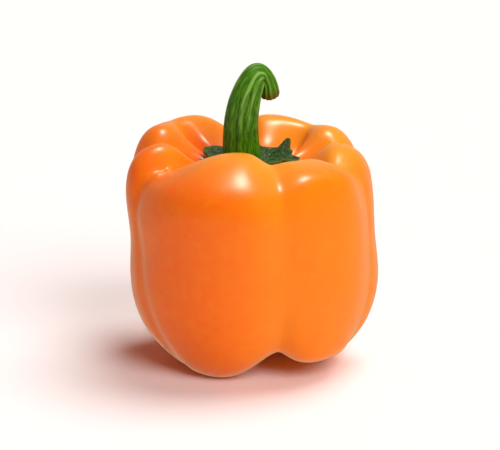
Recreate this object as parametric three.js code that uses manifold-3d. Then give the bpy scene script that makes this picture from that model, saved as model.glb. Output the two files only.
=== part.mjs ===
// A bell pepper, as picked: an orange fruit with four lobes, each parted again by a shallower
// furrow, a green calyx in the hollow at its top and a ribbed stem that hooks over at its end.
// Millimetres, +Z up. The origin is on the surface the fruit stands on, under the middle of its
// width and depth. Angles are degrees anticlockwise from +X round the hollow's axis, seen from
// above. The front of the fruit faces -Y.

import * as THREE from 'three';
import { mergeVertices } from 'three/addons/utils/BufferGeometryUtils.js';
import Module from 'manifold-3d';

const AXIS = { x: -0.31, y: 1.83 };   // where the middle of the hollow stands

// The lobes, going round. crest: radius and height of the top, and how far below it the shoulder
// turns down. wall: radii at WALL_HEIGHTS. foot: radius and height of the lowest place. lean: how
// far the lobe turns on its way from the wall to the foot.
const LOBES = [
  { angle: -172.3, lean: -0.9, crest: [29.5, 75.1, 4.6], wall: [42.4, 40.4, 41.5, 38.2], foot: [20, 1.4] },
  { angle: -99.8, lean: -24.2, crest: [23.5, 76.6, 8.9], wall: [45.5, 43.2, 42, 36.6], foot: [21, -0.15] },
  { angle: -51.4, lean: 11.3, crest: [27.1, 73.8, 0.8], wall: [43.8, 44.5, 43.1, 38.7], foot: [27, 5.4] },
  { angle: 0.2, lean: 0.3, crest: [27.7, 74.2, 5], wall: [40.2, 41.3, 42.9, 40.1], foot: [18.8, -0.15] },
  { angle: 35.8, lean: 0, crest: [30.9, 76.1, 8.4], wall: [43.3, 44, 43, 39], foot: [22, -0.15] },
  { angle: 78.6, lean: 0, crest: [30.9, 77.3, 9], wall: [41, 42, 41, 37], foot: [22, 1.5] },
  { angle: 126.8, lean: 0, crest: [35.5, 77.3, 8.6], wall: [42.1, 42, 41, 37], foot: [22, -0.15] },
  { angle: 156.2, lean: 0, crest: [32.3, 77.8, 8], wall: [43.9, 43.5, 44.2, 39.3], foot: [21, 1.5] },
];
const WALL_HEIGHTS = [58, 44, 29, 14];

// The furrow that follows each lobe, with its depth inside the hollow, at the crest, on the wall
// and at the base, and how steeply its two flanks fall. The deep ones part the four main lobes.
const FURROWS = [
  { angle: -157.3, lean: 0.5, inner: 6.1, crest: 7.2, wall: 0, base: 0, flanks: [2.5, 2] },
  { angle: -76.7, lean: 4.5, inner: 1.8, crest: 2.7, wall: 1.5, base: 6.3, flanks: [2.5, 3.2] },
  { angle: -25.9, lean: 0.2, inner: 5.6, crest: 4.5, wall: 1, base: 0, flanks: [2.6, 2.2] },
  { angle: 16.4, lean: 0, inner: 6, crest: 4.7, wall: 3.8, base: 6, flanks: [2.3, 2] },
  { angle: 51.5, lean: 0, inner: 4.5, crest: 1.1, wall: 1.5, base: 1, flanks: [2, 2.1] },
  { angle: 101.2, lean: 0, inner: 5.8, crest: 5.6, wall: 2.5, base: 6, flanks: [2.3, 2.4] },
  { angle: 139.3, lean: 0, inner: 4.5, crest: 0.3, wall: 1.5, base: 1, flanks: [2, 2.5] },
  { angle: 175.6, lean: 0, inner: 6, crest: 6.4, wall: 4, base: 6, flanks: [2.4, 2.2] },
];
const CREASE = 0.2;          // rounding of a furrow's bottom, as a share of its half width
const CHORD_REACH = 0.07;    // a furrow is pressed in square to the meridian's chord over this reach
const LEAN_SPAN = [0.5, 0.8]; // share of the way from the hollow to the navel where the lobes lean
const HOLLOW_FLOOR = 67;     // height of the hollow's floor, under the calyx
const NAVEL_HEIGHT = 8;      // height of the dimple under the fruit
const FOOT_CUT = 0;          // height at which the feet are pressed flat

// The calyx: a thin green plate on the hollow's floor, with blunt sepals that curl up.
const CALYX = { x: -1.2, y: 0.5, radius: 12.8, thickness: 1.5, rim: 1.1, collar: 70.3 };
const RIM_LIFT = 2.2;         // how far the edge curls up off the hollow's floor
const SEPALS = [
  { angle: 20, reach: 2.4, lift: 0.2, width: 36 },
  { angle: 33, reach: 1.2, lift: 3.1, width: 11 },
  { angle: 88, reach: 1.6, lift: 0.6, width: 20 },
  { angle: 146, reach: 2.8, lift: -0.5, width: 18 },
  { angle: 168, reach: 2.8, lift: -0.2, width: 18 },
  { angle: -160, reach: 1.5, lift: 0.2, width: 15 },
  { angle: -112, reach: 2.4, lift: 0.5, width: 20 },
  { angle: -62, reach: 2, lift: 0.3, width: 17 },
  { angle: -13, reach: 4.4, lift: -1.6, width: 10 },
];
const GAP = 0.3;             // clearance between pieces that touch

// The stem: points of its middle line from the calyx up and over the hook, its radius along
// the way, and its ribs by angle round the section (0 towards +X, -90 towards the front).
const STEM_PATH = [
  [-3.6, 0, 70.8], [-3.85, 0, 76.5], [-3.8, 0, 83], [-2.8, 0.1, 89.2], [-0.8, 0.5, 94.6],
  [1.3, 1.4, 99], [3.8, 3.4, 97.9], [5.5, 5.4, 94.7], [5.9, 6.5, 91.1],
];
const STEM_RADII = [6.5, 5.85, 5.65, 5.3, 4.65, 3.8, 2.7, 2.7, 3.3];
const STEM_RIBS = [
  { angle: -160, height: 0.7 }, { angle: -127, height: 0.6 }, { angle: -94, height: 0.9 },
  { angle: -66, height: 0.8 }, { angle: -31, height: 0.8 }, { angle: 15, height: 0.7 },
  { angle: 60, height: 0.9 }, { angle: 110, height: 0.9 }, { angle: 155, height: 0.7 },
];
const RIB_WIDTH = 12;
const CAP_SHARE = 0.06;      // share of the rings that round each end off
const END_SHARE = 0.03;      // share of the rings that lie flat in the root's end
const END_ROUNDING = 2;      // how far the cut end bulges out

const COLOURS = { fruit: 0xff7d1e, calyx: 0x2f6b2c, stem: 0x4c8a1f };

const wasm = await Module();
wasm.setup();

const radians = THREE.MathUtils.degToRad;
const ease = THREE.MathUtils.smoothstep;

// Signed angle from b to a, in (-180, 180].
function turn(a, b) {
  return THREE.MathUtils.euclideanModulo(a - b + 180, 360) - 180;
}

// A rise and fall along the meridian: 0 before a, 1 between b and c, 0 after d.
function hump(t, a, b, c, d) {
  return ease(t, a, b) * (1 - ease(t, c, d));
}

// A point of a uniform cubic B-spline, with the slope there. t runs from 0 to 1.
function spline(points, t) {
  const spans = points.length - 3;
  const at = Math.min(Math.max(t, 0), 1) * spans;
  const k = Math.min(Math.floor(at), spans - 1);
  const f = at - k;
  const weights = [(1 - f) ** 3, 3 * f ** 3 - 6 * f ** 2 + 4, -3 * f ** 3 + 3 * f ** 2 + 3 * f + 1, f ** 3];
  const slopes = [-((1 - f) ** 2), 3 * f ** 2 - 4 * f, -3 * f ** 2 + 2 * f + 1, f ** 2];
  const mix = (w, scale) => points[0].map((_, axis) => (
    w.reduce((sum, weight, i) => sum + weight * points[k + i][axis], 0) / scale));
  return { point: mix(weights, 6), slope: mix(slopes, 2) };
}

// A point measured from the hollow's axis.
function placed(x, y, z) {
  return [x + AXIS.x, y + AXIS.y, z];
}

// A closed body from a grid: rings round, from the pole at t = 0 to the pole at t = 1.
function closedGrid(stations, rings, pointAt) {
  const positions = [...pointAt(0, 0)];
  for (let ring = 1; ring < rings; ring += 1) {
    for (const station of stations) positions.push(...pointAt(station, ring / rings));
  }
  positions.push(...pointAt(0, 1));
  const count = stations.length;
  const last = positions.length / 3 - 1;
  const index = [];
  for (let i = 0; i < count; i += 1) {
    const next = (i + 1) % count;
    index.push(0, 1 + i, 1 + next);
    for (let ring = 0; ring < rings - 2; ring += 1) {
      const a = 1 + ring * count;
      index.push(a + i, a + count + i, a + count + next, a + i, a + count + next, a + next);
    }
    index.push(last, last - count + next, last - count + i);
  }
  const geometry = new THREE.BufferGeometry();
  geometry.setAttribute('position', new THREE.Float32BufferAttribute(positions, 3));
  geometry.setIndex(index);
  return geometry;
}

function evenAngles(count) {
  return Array.from({ length: count }, (_, i) => -180 + (360 * i) / count);
}

// The fruit

// Two sectors to a lobe: down to its furrow, and up to the next lobe's peak.
function fruitStations(steps) {
  return Array.from({ length: 2 * LOBES.length * steps }, (_, i) => i / steps);
}

// The meridian's control points, from the middle of the hollow over the crest to the navel.
function meridian([crestRadius, crestHeight, drop], wall, [footRadius, footHeight]) {
  const half = [
    [0, HOLLOW_FLOOR], [7, HOLLOW_FLOOR], [14, HOLLOW_FLOOR + 0.8],
    [crestRadius - 9, crestHeight - 6], [crestRadius - 2.5, crestHeight + 1.6],
    [crestRadius + 5.5, crestHeight + 0.6], [wall[0] - 0.8, crestHeight - drop],
    [wall[0] + 0.6, WALL_HEIGHTS[0]], [wall[1], WALL_HEIGHTS[1]],
    [wall[2] + 0.6, WALL_HEIGHTS[2]], [wall[3], WALL_HEIGHTS[3]],
    [footRadius + 9.5, footHeight + 2.5], [footRadius + 1, footHeight - 1.3],
    [footRadius - 8, footHeight + 2], [6, NAVEL_HEIGHT - 0.7], [0, NAVEL_HEIGHT],
  ];
  const [, second] = half;
  const beforeLast = half[half.length - 2];
  return [[-second[0], second[1]], ...half, [-beforeLast[0], beforeLast[1]]];
}

function leaning({ angle, lean }, t) {
  return angle + lean * ease(t, ...LEAN_SPAN);
}

// How deep a furrow is: across is 0 at its bottom and 1 at the lobe's peak.
function furrowDepth(furrow, flank, across, t) {
  const rounded = (q) => Math.hypot(q, CREASE) - CREASE;
  const profile = (1 - rounded(across) / rounded(1)) ** flank;
  return profile * (furrow.inner * hump(t, 0.06, 0.19, 0.21, 0.32)
    + furrow.crest * hump(t, 0.21, 0.32, 0.34, 0.5)
    + furrow.wall * hump(t, 0.3, 0.45, 0.62, 0.78)
    + furrow.base * hump(t, 0.56, 0.76, 0.82, 0.99));
}

function fruitPoint(station, t) {
  const sector = Math.floor(station);
  const share = station - sector;
  const i = Math.floor(sector / 2);
  const lobe = LOBES[i];
  const next = LOBES[(i + 1) % LOBES.length];
  const start = leaning(lobe, t);
  const bottom = start + THREE.MathUtils.euclideanModulo(leaning(FURROWS[i], t) - start, 360);
  const end = bottom + THREE.MathUtils.euclideanModulo(leaning(next, t) - bottom, 360);
  const falling = sector % 2 === 0;
  const angle = falling ? THREE.MathUtils.lerp(start, bottom, share) : THREE.MathUtils.lerp(bottom, end, share);
  const across = falling ? 1 - share : share;
  const flank = FURROWS[i].flanks[falling ? 0 : 1];

  const blend = THREE.MathUtils.smootherstep((angle - start) / (end - start), 0, 1);
  const mix = (a, b) => a.map((value, k) => value + (b[k] - value) * blend);
  const outline = meridian(mix(lobe.crest, next.crest), mix(lobe.wall, next.wall), mix(lobe.foot, next.foot));
  const [r, z] = spline(outline, t).point;
  const [before, after] = [t - CHORD_REACH, t + CHORD_REACH].map((at) => spline(outline, at).point);
  const chord = [after[0] - before[0], after[1] - before[1]];
  const length = Math.hypot(...chord);
  const depth = furrowDepth(FURROWS[i], flank, across, t);
  const radius = r + (chord[1] / length) * depth;
  const height = z - (chord[0] / length) * depth;
  return placed(radius * Math.cos(radians(angle)), radius * Math.sin(radians(angle)), height);
}

function toSolid(geometry) {
  const merged = mergeVertices(geometry);
  return new wasm.Manifold(new wasm.Mesh({
    numProp: 3,
    vertProperties: merged.getAttribute('position').array,
    triVerts: new Uint32Array(merged.getIndex().array),
  }));
}

function fromSolid(solid) {
  const mesh = solid.getMesh();
  const geometry = new THREE.BufferGeometry();
  geometry.setAttribute('position', new THREE.BufferAttribute(mesh.vertProperties, 3));
  geometry.setIndex(new THREE.BufferAttribute(mesh.triVerts, 1));
  return geometry;
}

function fruitGeometry() {
  const body = toSolid(closedGrid(fruitStations(5), 45, fruitPoint));
  const table = new THREE.BoxGeometry(200, 200, 20);
  table.translate(0, 0, FOOT_CUT - 10);
  table.deleteAttribute('normal');
  table.deleteAttribute('uv');
  return fromSolid(body.subtract(toSolid(table)));
}

// The calyx

// How far a sepal stands out at an angle, as a share of its reach.
function sepalShare(angle, sepal) {
  const across = Math.abs(turn(angle, sepal.angle)) / sepal.width;
  return Math.max(1 - across ** 3, 0) ** 2;
}

function calyxPoint(angle, t) {
  const across = 1 - Math.abs(2 * t - 1);
  const reach = SEPALS.reduce((sum, s) => sum + s.reach * sepalShare(angle, s), 0);
  const lift = SEPALS.reduce((sum, s) => sum + s.lift * sepalShare(angle, s), 0);
  const radius = (CALYX.radius + reach) * across;
  const x = CALYX.x + radius * Math.cos(radians(angle));
  const y = CALYX.y + radius * Math.sin(radians(angle));
  const floor = HOLLOW_FLOOR + 1.2 * (Math.hypot(x, y) / 14) ** 3.2 + GAP;
  const under = floor + 0.05 + (RIM_LIFT + lift) * ease(across, 0.5, 1.15);
  if (t > 0.5) return placed(x, y, under);
  const thickness = THREE.MathUtils.lerp(CALYX.thickness, CALYX.rim, across);
  const collar = 1 - ease(Math.hypot(x - STEM_PATH[0][0], y - STEM_PATH[0][1]), 6, 10);
  const height = under + thickness;
  return placed(x, y, height + Math.max(CALYX.collar - height, 0) * collar);
}

// The stem

function stemSpline(values, t) {
  const first = values[0].map((v, k) => 2 * v - values[1][k]);
  const end = values.length - 1;
  const last = values[end].map((v, k) => 2 * v - values[end - 1][k]);
  return spline([first, ...values, last], t);
}

// t runs from the cut end, at 0, back to the root.
function stemPoint(angle, t) {
  const along = THREE.MathUtils.clamp((1 - CAP_SHARE - t) / (1 - CAP_SHARE - END_SHARE), 0, 1);
  const { point, slope } = stemSpline(STEM_PATH, along);
  const [radius] = stemSpline(STEM_RADII.map((r) => [r]), along).point;
  const tangent = new THREE.Vector3(...slope).normalize();
  const side = new THREE.Vector3(0, 1, 0);
  side.addScaledVector(tangent, -side.dot(tangent)).normalize();
  const front = new THREE.Vector3().crossVectors(side, tangent);
  const rib = STEM_RIBS.reduce((sum, r) => (
    sum + r.height * Math.exp(-((turn(angle, r.angle) / RIB_WIDTH) ** 2))), 0);
  const cap = 1 - (1 - THREE.MathUtils.clamp(Math.min(t, 1 - t) / CAP_SHARE, 0, 1)) ** 2.2;
  const reach = (radius - 0.35 + rib) * cap;
  const bulge = Math.cos((Math.min(t / CAP_SHARE, 1) * Math.PI) / 2);
  const centre = new THREE.Vector3(...point).addScaledVector(tangent, END_ROUNDING * bulge);
  centre.addScaledVector(front, reach * Math.cos(radians(angle)));
  centre.addScaledVector(side, reach * Math.sin(radians(angle)));
  return placed(centre.x, centre.y, centre.z);
}

function mesh(name, geometry, colour, roughness) {
  const material = new THREE.MeshStandardMaterial({ color: colour, roughness, metalness: 0 });
  const piece = new THREE.Mesh(geometry, material);
  piece.name = name;
  return piece;
}

const pepper = new THREE.Group();
pepper.name = 'bell_pepper';
pepper.add(mesh('fruit', fruitGeometry(), COLOURS.fruit, 0.28));
pepper.add(mesh('calyx', closedGrid(evenAngles(84), 12, calyxPoint), COLOURS.calyx, 0.7));
pepper.add(mesh('stem', closedGrid(evenAngles(48), 34, stemPoint), COLOURS.stem, 0.5));

export default pepper;
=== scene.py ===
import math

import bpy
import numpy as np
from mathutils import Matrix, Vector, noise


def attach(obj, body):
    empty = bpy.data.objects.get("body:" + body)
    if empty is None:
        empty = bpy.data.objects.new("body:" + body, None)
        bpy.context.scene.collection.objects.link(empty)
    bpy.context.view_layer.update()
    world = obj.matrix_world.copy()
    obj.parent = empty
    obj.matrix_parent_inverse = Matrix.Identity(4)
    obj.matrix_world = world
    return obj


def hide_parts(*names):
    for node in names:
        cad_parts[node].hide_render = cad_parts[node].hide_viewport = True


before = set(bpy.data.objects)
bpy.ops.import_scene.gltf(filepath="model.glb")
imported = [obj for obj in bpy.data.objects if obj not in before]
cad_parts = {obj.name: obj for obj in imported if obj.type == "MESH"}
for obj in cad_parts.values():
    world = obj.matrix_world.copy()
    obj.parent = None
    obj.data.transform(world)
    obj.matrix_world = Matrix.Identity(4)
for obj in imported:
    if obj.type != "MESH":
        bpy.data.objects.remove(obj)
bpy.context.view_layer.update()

# The finish of a bell pepper: a waxy orange fruit, a green calyx in its hollow and a ribbed stem.
# The fine pieces follow the same formulas as the frame's solids. Lengths in the driving
# dimensions are millimetres, and angles are degrees anticlockwise from +X, seen from above.

MM = 0.001
AXIS = (-0.31, 1.83, 0)      # where the middle of the hollow stands

# The lobes, going round. crest: radius and height of the top, and how far below it the shoulder
# turns down. wall: radii at WALL_HEIGHTS. foot: radius and height of the lowest place. lean: how
# far the lobe turns on its way from the wall to the foot. Along the surface, places are given as
# shares of the way from the hollow's middle, at 0, to the navel underneath, at 1.
LOBES = [
    dict(angle=-172.3, lean=-0.9, crest=(29.5, 75.1, 4.6),
         wall=(42.4, 40.4, 41.5, 38.2), foot=(20, 1.4)),
    dict(angle=-99.8, lean=-24.2, crest=(23.5, 76.6, 8.9),
         wall=(45.5, 43.2, 42, 36.6), foot=(21, -0.15)),
    dict(angle=-51.4, lean=11.3, crest=(27.1, 73.8, 0.8),
         wall=(43.8, 44.5, 43.1, 38.7), foot=(27, 5.4)),
    dict(angle=0.2, lean=0.3, crest=(27.7, 74.2, 5),
         wall=(40.2, 41.3, 42.9, 40.1), foot=(18.8, -0.15)),
    dict(angle=35.8, lean=0, crest=(30.9, 76.1, 8.4),
         wall=(43.3, 44, 43, 39), foot=(22, -0.15)),
    dict(angle=78.6, lean=0, crest=(30.9, 77.3, 9),
         wall=(41, 42, 41, 37), foot=(22, 1.5)),
    dict(angle=126.8, lean=0, crest=(35.5, 77.3, 8.6),
         wall=(42.1, 42, 41, 37), foot=(22, -0.15)),
    dict(angle=156.2, lean=0, crest=(32.3, 77.8, 8),
         wall=(43.9, 43.5, 44.2, 39.3), foot=(21, 1.5)),
]
WALL_HEIGHTS = (58, 44, 29, 14)

# The furrow that follows each lobe, with its depth inside the hollow, at the crest, on the wall
# and at the base, and how steeply its two flanks fall.
FURROWS = [
    dict(angle=-157.3, lean=0.5, inner=6.1, crest=7.2, wall=0, base=0, flanks=(2.5, 2)),
    dict(angle=-76.7, lean=4.5, inner=1.8, crest=2.7, wall=1.5, base=6.3, flanks=(2.5, 3.2)),
    dict(angle=-25.9, lean=0.2, inner=5.6, crest=4.5, wall=1, base=0, flanks=(2.6, 2.2)),
    dict(angle=16.4, lean=0, inner=6, crest=4.7, wall=3.8, base=6, flanks=(2.3, 2)),
    dict(angle=51.5, lean=0, inner=4.5, crest=1.1, wall=1.5, base=1, flanks=(2, 2.1)),
    dict(angle=101.2, lean=0, inner=5.8, crest=5.6, wall=2.5, base=6, flanks=(2.3, 2.4)),
    dict(angle=139.3, lean=0, inner=4.5, crest=0.3, wall=1.5, base=1, flanks=(2, 2.5)),
    dict(angle=175.6, lean=0, inner=6, crest=6.4, wall=4, base=6, flanks=(2.4, 2.2)),
]
# Where each of those depths begins, becomes full, starts to fade and ends.
FURROW_SPANS = dict(
    inner=(0.06, 0.19, 0.21, 0.32),
    crest=(0.21, 0.32, 0.34, 0.5),
    wall=(0.3, 0.45, 0.62, 0.78),
    base=(0.56, 0.76, 0.82, 0.99),
)
FURROW_BOTTOM = 0.2          # how round a furrow's bottom is, as a share of its flank
CHORD_REACH = 0.07           # a furrow is pressed in square to the meridian's chord over this reach
LEAN_SPAN = (0.5, 0.8)       # where the lobes and the furrows lean
HOLLOW_FLOOR = 67
HOLLOW_RISE = dict(height=1.2, radius=14, power=3.2)
NAVEL_HEIGHT = 8
FOOT_CUT = 0                 # the feet are cut flat at this height

# Fine creases that go on down the walls. lean: how far each turns from its start to its end.
WALL_CREASES = [
    dict(angle=-158, lean=15, depth=0.9, width=3.0),
    dict(angle=-76.5, lean=4, depth=0.6, width=3.0),
    dict(angle=-19, lean=-2, depth=0.7, width=2.6),
    dict(angle=51.5, lean=2, depth=0.5, width=2.4),
    dict(angle=139.3, lean=-2, depth=0.5, width=2.4),
]
CREASE_LEAN_SPAN = (0.42, 0.8)              # where they turn
CREASE_SPAN = (0.36, 0.46, 0.72, 0.84)      # where they begin, are full, start to fade and end

# A grown surface is never quite even. depth and size are those of its smooth bumps, and size is
# in the grain's own coordinates for the stem.
SKIN_WAVES = [dict(depth=0.22, size=16, seed=1), dict(depth=0.06, size=5, seed=2)]
CALYX_PUCKERS = [dict(depth=0.28, size=1.8, seed=3), dict(depth=0.14, size=0.8, seed=4)]
STEM_STREAKS = [dict(depth=0.1, size=0.8, seed=5)]

CALYX = dict(x=-1.2, y=0.5, radius=12.8, thickness=1.5, rim=1.1, collar=70.3)
SEPALS = [
    dict(angle=20, reach=2.4, lift=0.2, width=36),
    dict(angle=33, reach=1.2, lift=3.1, width=11),
    dict(angle=88, reach=1.6, lift=0.6, width=20),
    dict(angle=146, reach=2.8, lift=-0.5, width=18),
    dict(angle=168, reach=2.8, lift=-0.2, width=18),
    dict(angle=-160, reach=1.5, lift=0.2, width=15),
    dict(angle=-112, reach=2.4, lift=0.5, width=20),
    dict(angle=-62, reach=2, lift=0.3, width=17),
    dict(angle=-13, reach=4.4, lift=-1.6, width=10),
]
RIM_LIFT = 2.2               # how far the calyx's edge curls up off the hollow's floor
CURL_SPAN = (0.5, 1.15)      # shares of the way out where it curls
COLLAR_SPAN = (6, 10)        # distances from the stem's middle where the collar slopes down
GAP = 0.3                    # between the calyx and the hollow's floor

STEM_PATH = [
    (-3.6, 0, 70.8), (-3.85, 0, 76.5), (-3.8, 0, 83), (-2.8, 0.1, 89.2), (-0.8, 0.5, 94.6),
    (1.3, 1.4, 99), (3.8, 3.4, 97.9), (5.5, 5.4, 94.7), (5.9, 6.5, 91.1),
]
STEM_RADII = (6.5, 5.85, 5.65, 5.3, 4.65, 3.8, 2.7, 2.7, 3.3)
STEM_RIBS = [
    dict(angle=-160, height=0.7), dict(angle=-127, height=0.6), dict(angle=-94, height=0.9),
    dict(angle=-66, height=0.8), dict(angle=-31, height=0.8), dict(angle=15, height=0.7),
    dict(angle=60, height=0.9), dict(angle=110, height=0.9), dict(angle=155, height=0.7),
]
RIB_WIDTH = 12               # degrees
RIB_GROUND = 0.35            # how far the stem lies inside its radius between the ribs
CAP_SHARE = 0.06             # share of the stem's rings that close each end
END_SHARE = 0.03             # share of them, at the cut end, that stand at the path's end
END_ROUNDING = 2             # how far the cut end bulges out
ROOT_SINK = 0.7              # how far the root goes below the path's start, into the calyx

# The photograph's camera
CAMERA_DISTANCE = 0.85
CAMERA_ELEVATION = 15
CAMERA_TARGET = (AXIS[0] - 0.7, AXIS[1], 46.9)   # mm
PIXEL = 0.337 * MM
PHOTO_WIDTH = 500
SENSOR_WIDTH = 36


# Shared forms

def ease(t, low, high):
    """A smooth step from 0 at low to 1 at high."""
    share = np.clip((t - low) / (high - low), 0, 1)
    return share * share * (3 - 2 * share)


def smootherstep(t):
    """A smooth step from 0 to 1 whose curvature ends at 0 too."""
    return t * t * t * (t * (6 * t - 15) + 10)


def turn(a, b):
    """Signed angle from b to a, in degrees."""
    return (a - b + 180) % 360 - 180


def hump(t, a, b, c, d):
    """A rise and fall along the meridian: 0 before a, 1 between b and c, 0 after d."""
    return ease(t, a, b) * (1 - ease(t, c, d))


def spline(points, t):
    """Points of a uniform cubic B-spline, with the slopes there. points is (control, ..., axis)."""
    spans = len(points) - 3
    at = np.clip(t, 0, 1) * spans
    k = np.minimum(at.astype(int), spans - 1)
    f = at - k
    weights = ((1 - f) ** 3, 3 * f**3 - 6 * f**2 + 4, -3 * f**3 + 3 * f**2 + 3 * f + 1, f**3)
    slopes = (-((1 - f) ** 2), 3 * f**2 - 4 * f, -3 * f**2 + 2 * f + 1, f**2)
    rows = [points[k + i] if points.ndim == 2 else points[k + i, np.arange(len(k))] for i in range(4)]
    point = sum(w[:, None] * row for w, row in zip(weights, rows)) / 6
    slope = sum(w[:, None] * row for w, row in zip(slopes, rows)) / 2
    return point, slope


def closed_grid(name, stations, rings, points_at):
    """A closed piece made of rings, with a pole at each end.

    points_at(stations, t) gives the points in mm and a dict of values for the material."""
    station_grid, t_grid = np.meshgrid(stations, np.arange(1, rings) / rings)
    all_stations = np.concatenate([[0.0], station_grid.ravel(), [0.0]])
    all_t = np.concatenate([[0.0], t_grid.ravel(), [1.0]])
    points, values = points_at(all_stations, all_t)
    count = len(stations)
    last = len(points) - 1
    faces = []
    for i in range(count):
        following = (i + 1) % count
        faces.append((0, 1 + i, 1 + following))
        faces.append((last, last - count + following, last - count + i))
        for ring in range(rings - 2):
            a = 1 + ring * count
            faces.append((a + i, a + count + i, a + count + following, a + following))
    mesh = bpy.data.meshes.new(name)
    mesh.from_pydata(((points + AXIS) * MM).tolist(), [], faces)
    mesh.shade_smooth()
    for key, data in values.items():
        if data.ndim == 2:
            mesh.attributes.new(key, "FLOAT_VECTOR", "POINT").data.foreach_set("vector", data.ravel())
        else:
            mesh.attributes.new(key, "FLOAT", "POINT").data.foreach_set("value", data)
    mesh.update()
    piece = bpy.data.objects.new(name, mesh)
    bpy.context.scene.collection.objects.link(piece)
    return piece


def even_angles(count):
    return np.arange(count) * 360.0 / count - 180


def unevenness(points, waves):
    """The sum of the given waves of smooth noise at each point, in mm."""
    total = np.zeros(len(points))
    for wave in waves:
        seed = wave["seed"]
        shift = Vector((seed * 17.3, seed * 5.1, seed * 9.7))
        values = [noise.noise(Vector(p) / wave["size"] + shift) for p in points.tolist()]
        total += wave["depth"] * np.array(values)
    return total


# The fruit

def fruit_stations(steps):
    """Two sectors to a lobe: down to its furrow, and up to the next lobe's peak."""
    return np.arange(2 * len(LOBES) * steps) / steps


def meridians(crest, wall, foot):
    """Control points of the meridian at every vertex, from the hollow's middle to the navel."""
    crest_radius, crest_height, drop = crest.T
    foot_radius, foot_height = foot.T
    same = np.ones(len(crest))
    half = [
        (0 * same, HOLLOW_FLOOR * same), (7 * same, HOLLOW_FLOOR * same),
        (14 * same, (HOLLOW_FLOOR + 0.8) * same),
        (crest_radius - 9, crest_height - 6), (crest_radius - 2.5, crest_height + 1.6),
        (crest_radius + 5.5, crest_height + 0.6), (wall[:, 0] - 0.8, crest_height - drop),
        (wall[:, 0] + 0.6, WALL_HEIGHTS[0] * same), (wall[:, 1], WALL_HEIGHTS[1] * same),
        (wall[:, 2] + 0.6, WALL_HEIGHTS[2] * same), (wall[:, 3], WALL_HEIGHTS[3] * same),
        (foot_radius + 9.5, foot_height + 2.5), (foot_radius + 1, foot_height - 1.3),
        (foot_radius - 8, foot_height + 2),
        (6 * same, (NAVEL_HEIGHT - 0.7) * same), (0 * same, NAVEL_HEIGHT * same),
    ]
    points = np.array([np.stack(p, -1) for p in half])
    mirror = np.array([-1, 1])
    return np.concatenate([points[1:2] * mirror, points, points[-2:-1] * mirror])


def column(rows, key):
    """The values that the rows have under one key."""
    return np.array([row[key] for row in rows], float)


def leaning(rows, i, t):
    """The angle of row i at t."""
    return column(rows, "angle")[i] + column(rows, "lean")[i] * ease(t, *LEAN_SPAN)


def fruit_points(stations, t):
    """t runs from the hollow's middle, at 0, to the navel."""
    sector = np.floor(stations).astype(int)
    part = stations - sector
    i = sector // 2
    following = (i + 1) % len(LOBES)
    start = leaning(LOBES, i, t)
    bottom = start + (leaning(FURROWS, i, t) - start) % 360
    end = bottom + (leaning(LOBES, following, t) - bottom) % 360
    falling = sector % 2 == 0
    angles = np.where(falling, start + (bottom - start) * part, bottom + (end - bottom) * part)
    across = np.where(falling, 1 - part, part)
    flank = np.where(falling, *column(FURROWS, "flanks")[i].T)
    share = smootherstep((angles - start) / (end - start))[:, None]

    def blend(key):
        values = column(LOBES, key)
        return values[i] + (values[following] - values[i]) * share

    outline = meridians(blend("crest"), blend("wall"), blend("foot"))
    line = spline(outline, t)[0]
    chord = spline(outline, t + CHORD_REACH)[0] - spline(outline, t - CHORD_REACH)[0]
    length = np.hypot(chord[:, 0], chord[:, 1])

    def rounded(q):
        return np.hypot(q, FURROW_BOTTOM) - FURROW_BOTTOM

    profile = (1 - rounded(across) / rounded(1)) ** flank
    depth = profile * sum(column(FURROWS, key)[i] * hump(t, *span) for key, span in FURROW_SPANS.items())
    radius = line[:, 0] + chord[:, 1] / length * depth
    height = line[:, 1] - chord[:, 0] / length * depth
    turned = np.radians(angles)
    points = np.stack([radius * np.cos(turned), radius * np.sin(turned), height], -1)

    pressed = np.zeros(len(t))
    for crease in WALL_CREASES:
        middle = crease["angle"] + crease["lean"] * ease(t, *CREASE_LEAN_SPAN)
        off = np.radians(turn(angles, middle)) * radius
        pressed += crease["depth"] * np.exp(-((off / crease["width"]) ** 2))
    pressed *= hump(t, *CREASE_SPAN)

    wave = unevenness(points, SKIN_WAVES)
    away_from_poles = hump(t, 0.1, 0.2, 0.8, 0.9)
    outward = np.stack([np.cos(turned), np.sin(turned), np.zeros(len(t))], -1)
    points += outward * (wave * away_from_poles - pressed)[:, None]
    points[:, 2] = np.maximum(points[:, 2], FOOT_CUT)
    furrow_share = profile * hump(t, 0.05, 0.2, 0.8, 0.97)
    return points, {"furrow": furrow_share, "along": t}


# The calyx

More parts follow.
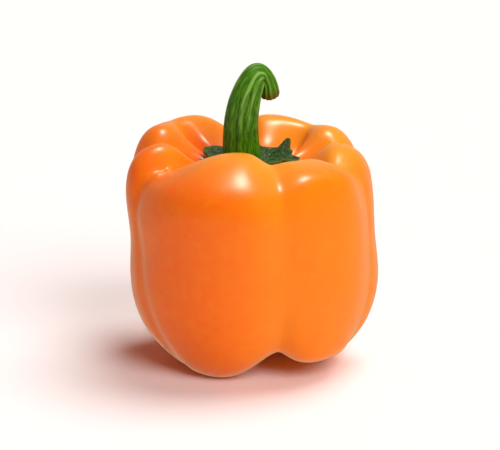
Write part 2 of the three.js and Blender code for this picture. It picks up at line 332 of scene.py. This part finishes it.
def calyx_points(angles, t):
    """t runs over the top, out to the edge at a half, and back underneath."""
    across = 1 - np.abs(2 * t - 1)
    reach = np.zeros(len(t))
    lift = np.zeros(len(t))
    for sepal in SEPALS:
        off = np.abs(turn(angles, sepal["angle"])) / sepal["width"]
        share = np.maximum(1 - off**3, 0) ** 2
        reach += sepal["reach"] * share
        lift += sepal["lift"] * share
    turned = np.radians(angles)
    radius = (CALYX["radius"] + reach) * across
    x = CALYX["x"] + radius * np.cos(turned)
    y = CALYX["y"] + radius * np.sin(turned)
    rise = HOLLOW_RISE["height"] * (np.hypot(x, y) / HOLLOW_RISE["radius"]) ** HOLLOW_RISE["power"]
    floor = HOLLOW_FLOOR + rise + GAP
    under = floor + 0.05 + (RIM_LIFT + lift) * ease(across, *CURL_SPAN)
    thickness = CALYX["thickness"] + (CALYX["rim"] - CALYX["thickness"]) * across
    collar = 1 - ease(np.hypot(x - STEM_PATH[0][0], y - STEM_PATH[0][1]), *COLLAR_SPAN)
    height = under + thickness
    height = height + np.maximum(CALYX["collar"] - height, 0) * collar
    # the leaf is puckered, save under the stem and at its edge
    flat = np.stack([x, y, np.zeros(len(t))], -1)
    pucker = unevenness(flat, CALYX_PUCKERS)
    relief = pucker * ease(across, 0.3, 0.6) * (1 - ease(across, 0.9, 1))
    top = height + relief
    points = np.stack([x, y, np.where(t > 0.5, under, top)], -1)
    return points, {"across": across, "relief": pucker}


# The stem

def extended(values):
    """Control points with one more at each end, so that the spline reaches the first and last."""
    values = np.array(values, float)
    if values.ndim == 1:
        values = values[:, None]
    return np.concatenate([[2 * values[0] - values[1]], values, [2 * values[-1] - values[-2]]])


def stem_points(angles, t):
    """t runs from the cut end, at 0, back to the root."""
    along = np.clip((1 - CAP_SHARE - t) / (1 - CAP_SHARE - END_SHARE), 0, 1)
    centre, slope = spline(extended(STEM_PATH), along)
    radius = spline(extended(STEM_RADII), along)[0][:, 0]
    tangent = slope / np.linalg.norm(slope, axis=1)[:, None]
    bulge = np.cos(np.minimum(t / CAP_SHARE, 1) * np.pi / 2)
    centre = centre + tangent * (END_ROUNDING * bulge)[:, None]
    side = np.array([0.0, 1.0, 0.0]) - tangent[:, 1:2] * tangent
    side /= np.linalg.norm(side, axis=1)[:, None]
    front = np.cross(side, tangent)
    rib = np.zeros(len(t))
    for r in STEM_RIBS:
        rib += r["height"] * np.exp(-((turn(angles, r["angle"]) / RIB_WIDTH) ** 2))
    cap = 1 - (1 - np.clip(np.minimum(t, 1 - t) / CAP_SHARE, 0, 1)) ** 2.2
    turned = np.radians(angles)
    # the grain's coordinates are short along the stem, so that its streaks come out long
    grain = np.stack([np.cos(turned) * 5, np.sin(turned) * 5, along * 6], -1)
    streak = unevenness(grain, STEM_STREAKS)
    reach = ((radius - RIB_GROUND + rib + streak) * cap)[:, None]
    points = centre + front * reach * np.cos(turned)[:, None] + side * reach * np.sin(turned)[:, None]
    points[:, 2] -= ROOT_SINK * (1 - ease(along, 0, 0.1))
    return points, {"grain": grain, "rib": rib, "along": along, "cap": cap}


# Materials

# The two base oranges are painted shade (the deeper) and painted light (the brighter); the crest colour
# is a painted light, and the hollow colour a painted shade.
SKIN = dict(
    deep=(0.98, 0.130, 0.001), lit_bright=(1.0, 0.230, 0.002), mottle=(1.0, 0.28, 0.003),
    furrow=(1.0, 0.28, 0.01), crest=(1.0, 0.40, 0.02), hollow=(1.0, 0.10, 0.002),
    scar=(0.20, 0.09, 0.02), pores=(1.0, 0.30, 0.03),
)
LEAF = dict(
    dark=(0.004, 0.030, 0.003), light=(0.020, 0.085, 0.008), raised=(0.04, 0.15, 0.02),
    specks=(0.22, 0.34, 0.16), rim=(0.10, 0.17, 0.02),
)
# The pale rib colour is a painted highlight.
STALK = dict(
    dark=(0.012, 0.080, 0.001), light=(0.085, 0.290, 0.003), painted_rib_highlight=(0.30, 0.58, 0.11),
    top=(0.10, 0.36, 0.010), fine=(0.34, 0.40, 0.14), brown=(0.15, 0.05, 0.003),
    cut=(0.16, 0.085, 0.02),
)


class Nodes:
    """Short calls for building a node material."""

    def __init__(self, name):
        self.material = bpy.data.materials.new(name)
        self.material.use_nodes = True
        self.tree = self.material.node_tree
        self.shader = self.tree.nodes["Principled BSDF"]

    def add(self, kind, inputs=None, **settings):
        node = self.tree.nodes.new(kind)
        for key, value in settings.items():
            setattr(node, key, value)
        for key, value in (inputs or {}).items():
            self.put(node.inputs[key], value)
        return node

    def put(self, socket, value):
        if isinstance(value, bpy.types.NodeSocket):
            self.tree.links.new(value, socket)
        else:
            socket.default_value = value

    def attribute(self, name):
        return self.add("ShaderNodeAttribute", attribute_name=name)

    def place(self):
        return self.add("ShaderNodeTexCoord").outputs["Object"]

    def noise(self, vector, scale, detail=3.0, roughness=0.5):
        return self.add("ShaderNodeTexNoise", {
            "Vector": vector, "Scale": scale, "Detail": detail, "Roughness": roughness}).outputs["Fac"]

    def ramp(self, value, low, high, to_low=0.0, to_high=1.0):
        return self.add("ShaderNodeMapRange", {
            "Value": value, "From Min": low, "From Max": high, "To Min": to_low, "To Max": to_high,
        }, interpolation_type="SMOOTHSTEP").outputs["Result"]

    def maths(self, operation, a, b):
        return self.add("ShaderNodeMath", {0: a, 1: b}, operation=operation).outputs[0]

    def mix(self, factor, a, b, blend="MIX"):
        node = self.add("ShaderNodeMix", data_type="RGBA", blend_type=blend)
        self.put(node.inputs["Factor"], factor)
        for socket, value in ((node.inputs[6], a), (node.inputs[7], b)):
            self.put(socket, value if isinstance(value, bpy.types.NodeSocket) else (*value, 1))
        return node.outputs[2]

    def bump(self, height, distance, strength=1.0, normal=None):
        inputs = {"Height": height, "Distance": distance, "Strength": strength}
        if normal is not None:
            inputs["Normal"] = normal
        return self.add("ShaderNodeBump", inputs).outputs["Normal"]

    def finish(self, **sockets):
        for key, value in sockets.items():
            self.put(self.shader.inputs[key.replace("_", " ")], value)
        return self.material


def skin_material():
    n = Nodes("skin")
    place = n.place()
    furrow = n.attribute("furrow").outputs["Fac"]
    along = n.attribute("along").outputs["Fac"]
    upright = n.add("ShaderNodeMapping", {"Vector": place, "Scale": (1, 1, 0.45)}).outputs["Vector"]
    # painted shade: towards the left (-X) the skin is mixed to a deeper red, as if away from the light,
    # and soft clouds vary the mix
    across = n.add("ShaderNodeSeparateXYZ", {"Vector": place}).outputs["X"]
    side = n.ramp(across, -0.034, 0.010)
    clouds = n.ramp(n.noise(upright, 30, 2), 0.3, 0.7, 0.6, 1)
    colour = n.mix(n.maths("MULTIPLY", side, clouds), SKIN["deep"], SKIN["lit_bright"])
    mottle = n.ramp(n.noise(place, 260, 3, 0.6), 0.35, 0.75, 0, 0.3)
    colour = n.mix(mottle, colour, SKIN["mottle"])
    colour = n.mix(n.maths("MULTIPLY", furrow, 0.25), colour, SKIN["furrow"])
    # painted light: the crests are painted yellower, as if lit from above, more so on the right
    crest = n.maths("MULTIPLY", n.ramp(along, 0.16, 0.28), n.ramp(along, 0.3, 0.41, 0.6, 0))
    crest = n.maths("MULTIPLY", crest, n.ramp(across, -0.036, -0.008, 0.35, 1))
    colour = n.mix(crest, colour, SKIN["crest"])
    # painted shade: the hollow is painted redder, as if in shade
    colour = n.mix(n.ramp(along, 0.1, 0.2, 0.7, 0), colour, SKIN["hollow"])
    # the brown scar of the blossom, in the navel
    scar = n.ramp(along, 0.965, 0.98, 0, 0.85)
    colour = n.mix(scar, colour, SKIN["scar"])
    pores = n.ramp(n.noise(place, 2600, 1), 0.62, 0.78, 0, 0.2)
    colour = n.mix(pores, colour, SKIN["pores"])
    dents = n.bump(n.noise(place, 210, 2), 0.00025, 0.35)
    grain = n.bump(n.noise(place, 1900, 2, 0.6), 0.00004, 0.5, dents)
    roughness = n.ramp(n.noise(place, 900, 2), 0.3, 0.7, 0.30, 0.40)
    return n.finish(
        Base_Color=colour, Roughness=roughness, Normal=grain, IOR=1.4, Specular_IOR_Level=0.1,
        Subsurface_Weight=0.2, Subsurface_Radius=(0.9, 0.28, 0.06), Subsurface_Scale=0.003,
        Coat_Weight=1.0, Coat_Roughness=0.31, Coat_IOR=1.3)


def calyx_material():
    n = Nodes("calyx")
    place = n.place()
    across = n.attribute("across").outputs["Fac"]
    relief = n.attribute("relief").outputs["Fac"]
    patches = n.ramp(n.noise(place, 800, 3, 0.6), 0.4, 0.6)
    colour = n.mix(patches, LEAF["dark"], LEAF["light"])
    colour = n.mix(n.ramp(relief, 0.0, 0.3, 0, 0.5), colour, LEAF["raised"])
    specks = n.ramp(n.noise(place, 1600, 2), 0.58, 0.68, 0, 0.7)
    colour = n.mix(specks, colour, LEAF["specks"])
    colour = n.mix(n.ramp(across, 0.93, 1.0, 0, 0.5), colour, LEAF["rim"])
    bump = n.bump(n.noise(place, 1100, 3, 0.65), 0.0005, 1.0)
    roughness = n.ramp(n.noise(place, 700, 2), 0.3, 0.7, 0.45, 0.7)
    return n.finish(Base_Color=colour, Roughness=roughness, Normal=bump, Specular_IOR_Level=0.25)


def stem_material():
    n = Nodes("stem")
    grain = n.attribute("grain").outputs["Vector"]
    along = n.attribute("along").outputs["Fac"]
    rib = n.attribute("rib").outputs["Fac"]
    cap = n.attribute("cap").outputs["Fac"]
    streaks = n.ramp(n.noise(grain, 2.4, 4, 0.6), 0.35, 0.65)
    colour = n.mix(streaks, STALK["dark"], STALK["light"])
    # painted highlight: pale streaks of highlight are painted on the ribs, broken up, away from the root
    ridges = n.ramp(rib, 0.45, 0.85)
    broken = n.ramp(n.noise(grain, 1.3, 2), 0.42, 0.6, 0.2, 0.75)
    painted_rib_highlight = n.maths("MULTIPLY", n.maths("MULTIPLY", ridges, broken), n.ramp(along, 0.12, 0.4))
    colour = n.mix(painted_rib_highlight, colour, STALK["painted_rib_highlight"])
    colour = n.mix(n.ramp(along, 0.4, 0.9, 0, 0.45), colour, STALK["top"])
    fine = n.ramp(n.noise(grain, 9, 3, 0.7), 0.6, 0.78, 0, 0.25)
    colour = n.mix(fine, colour, STALK["fine"])
    colour = n.mix(n.ramp(along, 0.9, 0.99, 0, 0.6), colour, STALK["brown"])
    cut = n.ramp(cap, 0.6, 1.0, 1, 0)
    end = n.maths("MULTIPLY", cut, n.ramp(along, 0.5, 0.9))
    colour = n.mix(end, colour, STALK["cut"])
    bump = n.bump(n.noise(grain, 7, 3, 0.6), 0.0003, 0.6)
    roughness = n.ramp(n.noise(grain, 3, 2), 0.3, 0.7, 0.35, 0.55)
    return n.finish(Base_Color=colour, Roughness=roughness, Normal=bump, Specular_IOR_Level=0.15,
                    Coat_Weight=0.15, Coat_Roughness=0.3)


def floor_material():
    n = Nodes("floor")
    return n.finish(Base_Color=(0.99, 0.99, 0.99, 1), Roughness=0.7, Specular_IOR_Level=0.2)


# The scene

def dress(piece, node, material):
    """Gives a piece its material, and puts it in the place of the frame's solid."""
    piece.data.materials.append(material)
    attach(piece, "root")
    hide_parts(node)


def add_floor():
    reach = 4.0   # m
    corners = [(-reach, -reach, 0), (reach, -reach, 0), (reach, reach, 0), (-reach, reach, 0)]
    mesh = bpy.data.meshes.new("floor")
    mesh.from_pydata(corners, [], [(0, 1, 2, 3)])
    mesh.materials.append(floor_material())
    floor = bpy.data.objects.new("floor", mesh)
    bpy.context.scene.collection.objects.link(floor)
    floor.visible_glossy = False


def add_camera():
    tilt = math.radians(CAMERA_ELEVATION)
    back = Vector((0, -math.cos(tilt), math.sin(tilt)))
    data = bpy.data.cameras.new("camera")
    data.sensor_width = SENSOR_WIDTH
    data.lens = SENSOR_WIDTH * (CAMERA_DISTANCE / PIXEL) / PHOTO_WIDTH
    camera = bpy.data.objects.new("camera", data)
    camera.location = Vector(CAMERA_TARGET) * MM + back * CAMERA_DISTANCE
    camera.rotation_euler = back.to_track_quat("Z", "Y").to_euler()
    bpy.context.scene.collection.objects.link(camera)
    bpy.context.scene.camera = camera


def add_soft_sun(name, azimuth, elevation, spread, strength, colour, lights=True, shines=False):
    """A broad light from far away. Azimuth is degrees anticlockwise from +X, seen from above.

    lights says whether it brightens surfaces, and shines whether it shows as a highlight."""
    data = bpy.data.lights.new(name, "SUN")
    data.color = colour
    data.angle = math.radians(spread)
    data.energy = strength
    light = bpy.data.objects.new(name, data)
    around = math.radians(azimuth)
    up = math.radians(elevation)
    away = Vector((math.cos(around) * math.cos(up), math.sin(around) * math.cos(up), math.sin(up)))
    light.rotation_euler = away.to_track_quat("Z", "Y").to_euler()
    light.visible_diffuse = lights
    light.visible_glossy = shines
    bpy.context.scene.collection.objects.link(light)


def add_lights():
    white = (1, 1, 1)
    reddish = (1, 0.36, 0.24)
    warm = (1, 0.88, 0.74)
    add_soft_sun("key", azimuth=26, elevation=68, spread=38, strength=2.12, colour=white)
    add_soft_sun("front", azimuth=-59, elevation=37, spread=32, strength=1.75, colour=white)
    add_soft_sun("fill", azimuth=0, elevation=90, spread=175, strength=0.55, colour=reddish)
    add_soft_sun("softbox", azimuth=90, elevation=87, spread=14, strength=4.2, colour=warm,
                 lights=False, shines=True)
    # the pale room round the table shows in reflections alone
    world = bpy.data.worlds.new("studio")
    bpy.context.scene.world = world
    world.use_nodes = True
    background = world.node_tree.nodes["Background"]
    background.inputs["Color"].default_value = (1, 0.95, 0.68, 1)
    background.inputs["Strength"].default_value = 0.58
    world.cycles_visibility.diffuse = False


fruit = closed_grid("fruit_skin", fruit_stations(steps=18), rings=170, points_at=fruit_points)
dress(fruit, "fruit", skin_material())
calyx = closed_grid("calyx_crown", even_angles(count=420), rings=90, points_at=calyx_points)
dress(calyx, "calyx", calyx_material())
stem = closed_grid("stem_stalk", even_angles(count=180), rings=220, points_at=stem_points)
dress(stem, "stem", stem_material())

add_floor()
add_camera()
add_lights()
bpy.context.scene.view_settings.view_transform = "Standard"
